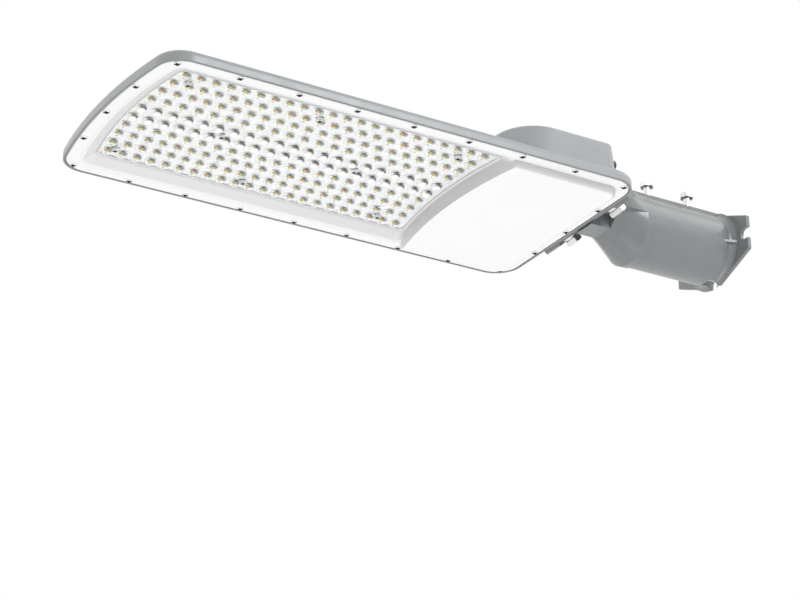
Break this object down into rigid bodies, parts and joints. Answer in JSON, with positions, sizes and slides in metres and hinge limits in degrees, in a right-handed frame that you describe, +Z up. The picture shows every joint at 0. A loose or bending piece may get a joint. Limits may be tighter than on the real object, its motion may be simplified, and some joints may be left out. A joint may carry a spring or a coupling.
{
  "type": "led street light head",
  "caption": "Flat LED street light head: cast tray with a gear hump, white screwed front round a lens plate, and a bolted arm with a pole socket and wall flange.",
  "frame": {"origin": "centre of the pole socket's mouth, on the wall flange's back face", "axes": "+X out of the socket towards the pole, +Y across the head, +Z up; the light shines to -Z and the head lies along -X"},
  "size_m": [0.7234, 0.2528, 0.1062],
  "materials": {
    "housing_paint": "light grey powder coat, fine texture",
    "cover_paint": "white powder coat, satin",
    "gasket_rubber": "matt silicone",
    "screw_steel": "stainless, turned heads",
    "lens_clear": "clear moulded lens plate",
    "seal_rubber": "pale silicone",
    "lens_screw_steel": "stainless",
    "board_white": "white solder resist",
    "chip_phosphor": "yellow phosphor, unlit",
    "arm_paint": "light grey powder coat on a casting",
    "arm_bolt_steel": "stainless",
    "set_bolt_steel": "stainless",
    "driver_case": "satin anodised",
    "driver_screw_steel": "zinc plated",
    "earth_brass": "plain brass",
    "surge_plastic": "moulded, dark",
    "terminal_plastic": "moulded, off white",
    "terminal_screw_steel": "zinc plated",
    "gland_plastic": "black nylon",
    "gland_nut_plastic": "black nylon",
    "vent_plastic": "black, moulded"
  },
  "bodies": {
    "root": {"housing": "housing_paint", "front_cover": "cover_paint", "cover_gasket": "gasket_rubber", "cover_screws": "screw_steel", "lens_plate": "lens_clear", "lens_seal": "seal_rubber", "lens_screws": "lens_screw_steel", "led_board": "board_white", "led_chips": "chip_phosphor", "arm": "arm_paint", "arm_bolts": "arm_bolt_steel", "set_bolts": "set_bolt_steel", "driver": "driver_case", "driver_screws": "driver_screw_steel", "earth_screw": "earth_brass", "surge_protector": "surge_plastic", "terminal_block": "terminal_plastic", "terminal_screws": "terminal_screw_steel", "cable_gland": "gland_plastic", "gland_nut": "gland_nut_plastic", "breather_vent": "vent_plastic"}
  },
  "joints": []
}
